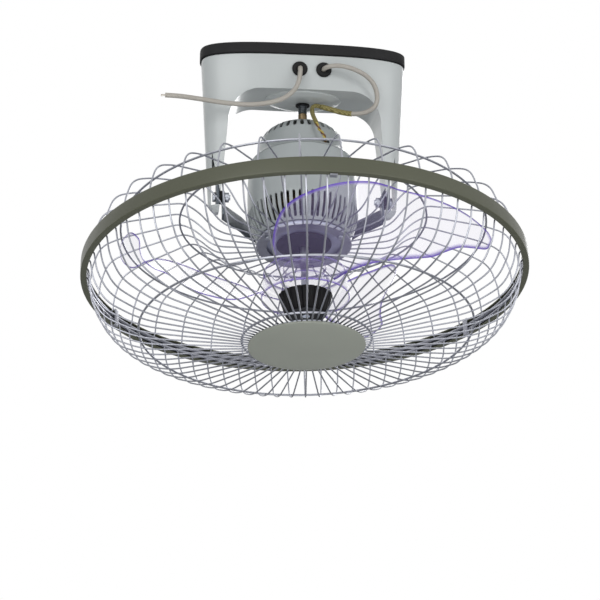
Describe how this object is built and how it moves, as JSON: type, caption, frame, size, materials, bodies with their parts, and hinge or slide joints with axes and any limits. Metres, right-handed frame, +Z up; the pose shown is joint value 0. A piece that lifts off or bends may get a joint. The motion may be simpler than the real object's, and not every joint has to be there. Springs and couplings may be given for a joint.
{
  "type": "orbital ceiling fan",
  "caption": "Ceiling fan whose caged head hangs on a gimbal under a two-legged canopy and is carried round a cone by a slow crank on top of its motor.",
  "frame": {"origin": "middle of the canopy's ceiling face", "axes": "+Z up into the ceiling; +X along the canopy's length, -Y towards the side with the two cable glands"},
  "size_m": [0.46, 0.4532, 0.3519],
  "materials": {
    "grey_paint": "gloss",
    "dark_trim": "satin",
    "steel": "satin",
    "dark_steel": "satin",
    "black_plastic": "matt",
    "brass": "satin",
    "motor_paint": "satin",
    "copper": "enamelled",
    "olive": "satin",
    "badge_grey": "satin",
    "chrome": "bright",
    "violet": "clear",
    "cord_grey": "matt",
    "sleeve": "woven",
    "board": "matt",
    "nylon": "satin"
  },
  "bodies": {
    "canopy": {"ceiling_plate": "steel", "trim_rim": "dark_trim", "canopy_shell": "grey_paint", "yoke_frame": "dark_steel", "power_gland": "black_plastic", "motor_gland": "black_plastic", "power_cord": "cord_grey", "motor_cord": "cord_grey", "lead_sleeve": "sleeve", "link_washer": "black_plastic", "link_nut": "steel", "link_rod": "dark_steel", "link_ball": "brass", "run_capacitor": "nylon", "terminal_block": "nylon", "receiver_board": "board", "pivot_bolt_left": "steel", "pivot_spacer_left": "black_plastic", "pivot_nut_left": "steel", "pivot_bolt_right": "steel", "pivot_spacer_right": "black_plastic", "pivot_nut_right": "steel"},
    "gimbal": {"gimbal_strap": "dark_steel"},
    "head": {"rear_pin": "steel", "motor_top_cover": "motor_paint", "motor_bottom_cover": "motor_paint", "motor_end_plate": "steel", "shaft_cap": "dark_trim", "stator_core": "steel", "winding_upper": "copper", "winding_lower": "copper", "bearing_upper": "steel", "bearing_lower": "steel", "bearing_bracket": "steel", "crank_bush": "brass", "rear_guard": "chrome", "front_guard": "chrome", "front_bend_ring": "chrome", "front_inner_ring": "chrome", "rear_ring_outer": "chrome", "rear_ring_inner": "chrome", "guard_band": "olive", "badge": "badge_grey", "badge_clamp": "steel", "badge_screw": "steel", "guard_screw_1": "steel", "guard_screw_2": "steel", "guard_screw_3": "steel", "guard_clip_1": "chrome", "guard_clip_2": "chrome", "guard_clip_3": "chrome", "lead_wires": "sleeve"},
    "rotor": {"rotor_core": "steel", "motor_shaft": "steel", "shaft_worm": "steel", "fan_blades": "violet", "blade_nut": "black_plastic"},
    "gear_shaft": {"cross_shaft": "nylon"},
    "crank": {"crank_gear": "nylon", "crank_arm": "dark_steel"}
  },
  "joints": [
    {"name": "gimbal_tilt", "type": "hinge", "parent": "canopy", "child": "gimbal", "pos_m": [0, 0, -0.163], "axis": [1, 0, 0], "range_deg": [0, 24.14], "deforming": ["lead_sleeve", "lead_wires"]},
    {"name": "head_tilt", "type": "hinge", "parent": "gimbal", "child": "head", "pos_m": [0, 0, -0.163], "axis": [0, 0.9779, -0.2091], "range_deg": [-12.07, 12.07]},
    {"name": "blade_spin", "type": "hinge", "parent": "head", "child": "rotor", "pos_m": [0, 0, -0.163], "axis": [0, 0.2091, 0.9779], "continuous": true},
    {"name": "gear_turn", "type": "hinge", "parent": "head", "child": "gear_shaft", "pos_m": [0, 0.02342, -0.11228], "axis": [1, 0, 0], "continuous": true},
    {"name": "crank_turn", "type": "hinge", "parent": "head", "child": "crank", "pos_m": [0, 0, -0.163], "axis": [0, 0.2091, 0.9779], "continuous": true}
  ],
  "couplings": [
    {"joint": "gear_turn", "follows": "blade_spin", "ratio": 0.033333},
    {"joint": "crank_turn", "follows": "blade_spin", "ratio": 0.0055556}
  ]
}
